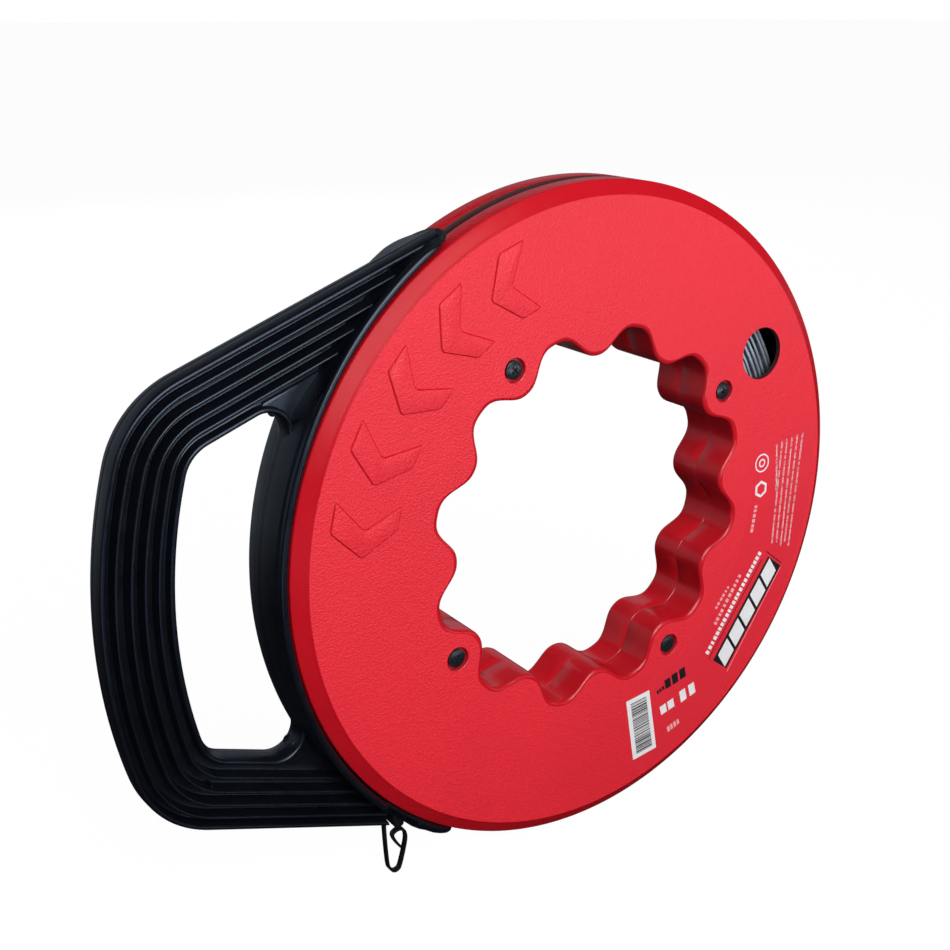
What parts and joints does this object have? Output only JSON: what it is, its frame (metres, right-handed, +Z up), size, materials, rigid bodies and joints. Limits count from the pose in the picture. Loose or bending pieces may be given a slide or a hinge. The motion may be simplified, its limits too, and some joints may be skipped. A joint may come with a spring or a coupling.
{
  "type": "fish tape reel",
  "caption": "Flat ring-shaped fish tape case with a scalloped centre grip that spins inside a ribbed D-handle with a saddle, and a hooked steel tape leaving at the handle's lower end.",
  "frame": {"origin": "on the spin axis of the case, at the middle of its thickness", "axes": "Y is the spin axis with the printed face towards -Y; the handle's middle line runs along -X; Z is up and the case rests on its rim at the lowest Z"},
  "size_m": [0.3839, 0.0346, 0.31],
  "materials": {
    "front_shell": "fine pebble texture on the face, smooth rim and hub",
    "rear_shell": "fine pebble texture on the face, smooth rim and hub",
    "case_screws": "black oxide",
    "face_label": "printed vinyl",
    "tape_coil": "blued spring steel",
    "tape_anchor_strap": "blued spring steel",
    "anchor_screw": "zinc plated",
    "front_handle_half": "satin moulded",
    "rear_handle_half": "satin moulded",
    "handle_rivets": "black",
    "exit_guide": "satin moulded",
    "tape_lead": "blued spring steel"
  },
  "bodies": {
    "handle": {"front_handle_half": "front_handle_half", "rear_handle_half": "rear_handle_half", "handle_rivets": "handle_rivets", "exit_guide": "exit_guide"},
    "case": {"front_shell": "front_shell", "rear_shell": "rear_shell", "case_screws": "case_screws", "face_label": "face_label", "tape_coil": "tape_coil", "tape_anchor_strap": "tape_anchor_strap", "anchor_screw": "anchor_screw"},
    "tape": {"tape_lead": "tape_lead"}
  },
  "joints": [
    {"name": "case_spin", "type": "hinge", "parent": "handle", "child": "case", "pos_m": [0, 0, 0], "axis": [0, 1, 0], "continuous": true},
    {"name": "tape_feed", "type": "slide", "parent": "handle", "child": "tape", "axis": [0.2529, 0, -0.9675], "range_m": [0, 0.06]}
  ]
}
